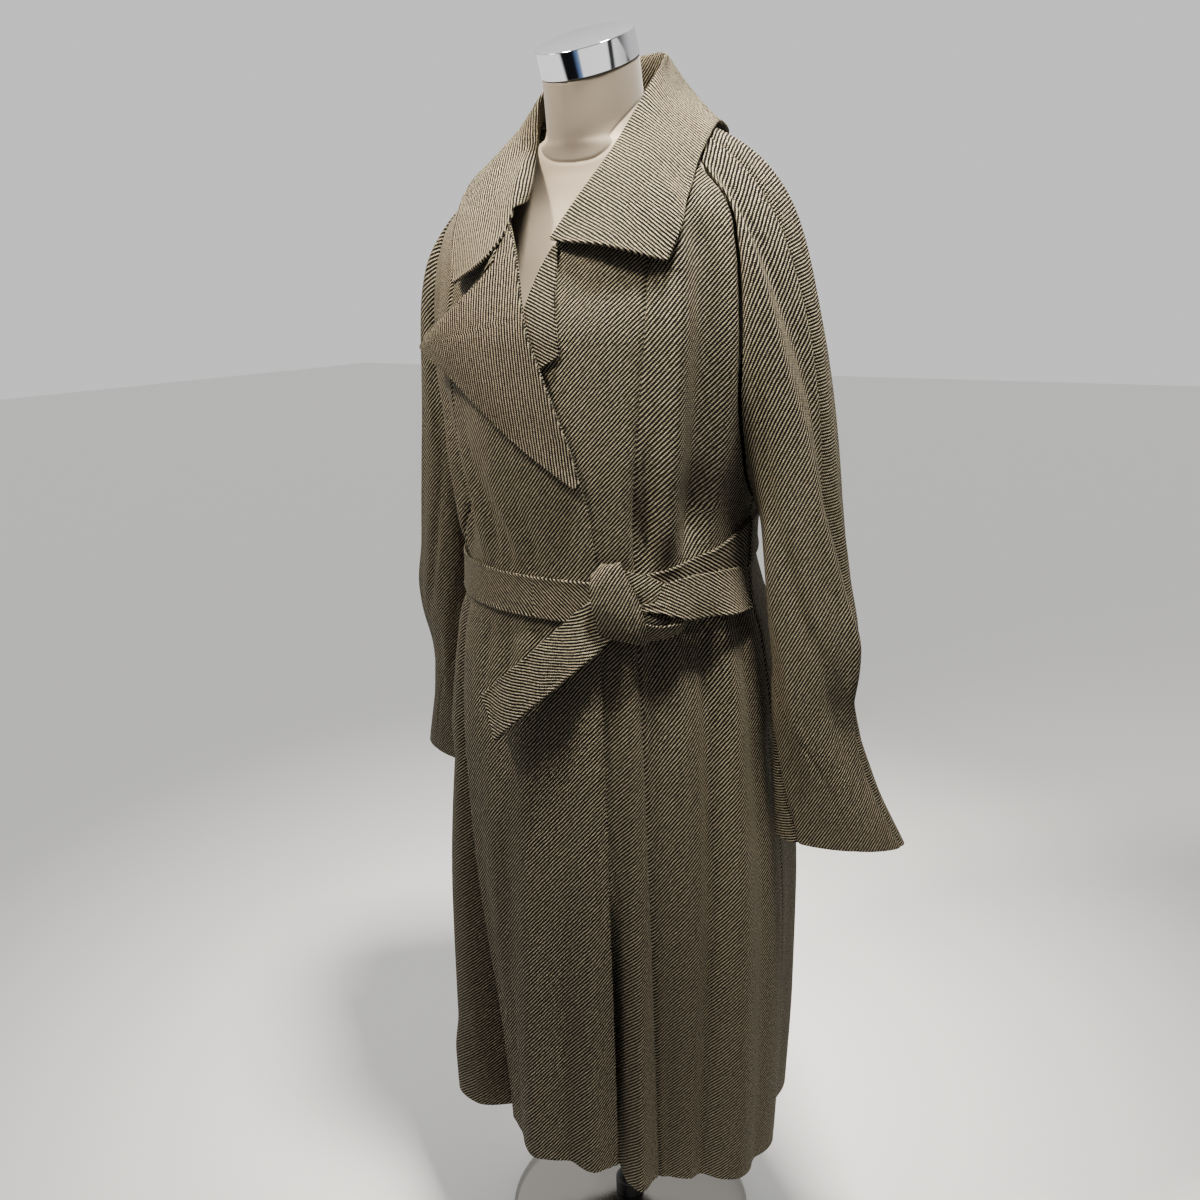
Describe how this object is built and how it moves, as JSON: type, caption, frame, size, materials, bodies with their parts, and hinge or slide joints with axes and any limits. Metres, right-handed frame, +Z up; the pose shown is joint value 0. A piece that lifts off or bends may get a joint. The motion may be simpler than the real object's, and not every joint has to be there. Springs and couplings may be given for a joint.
{
  "type": "wrap coat on a dress form",
  "caption": "Long belted wrap coat in diagonal twill with a wide notched collar, raglan sleeves and a knotted self belt, on a limbless dress form with a round base.",
  "frame": {"origin": "middle of the underside of the stand's round base, on the floor", "axes": "+Z up; the coat's front faces -Y; +X is the wearer's left"},
  "size_m": [0.7794, 0.4293, 1.6503],
  "materials": {
    "twill": "coarse wool twill, near-black and cream threads",
    "form_cloth": "smooth stretch cover",
    "chrome": "polished",
    "pole_steel": "satin",
    "black_ring": "satin"
  },
  "bodies": {
    "root": {"left_front": "twill", "left_side_front": "twill", "right_front": "twill", "right_side_front": "twill", "back": "twill", "left_sleeve_front": "twill", "left_sleeve_back": "twill", "right_sleeve_front": "twill", "right_sleeve_back": "twill", "collar": "twill", "right_lapel": "twill", "left_lapel": "twill", "belt_band": "twill", "belt_knot": "twill", "belt_end_right": "twill", "belt_end_left": "twill", "belt_loop_left": "twill", "belt_loop_right": "twill", "form_torso": "form_cloth", "form_neck_cap": "chrome", "form_base": "chrome", "form_pole": "pole_steel", "form_pole_ring": "black_ring"}
  },
  "joints": []
}
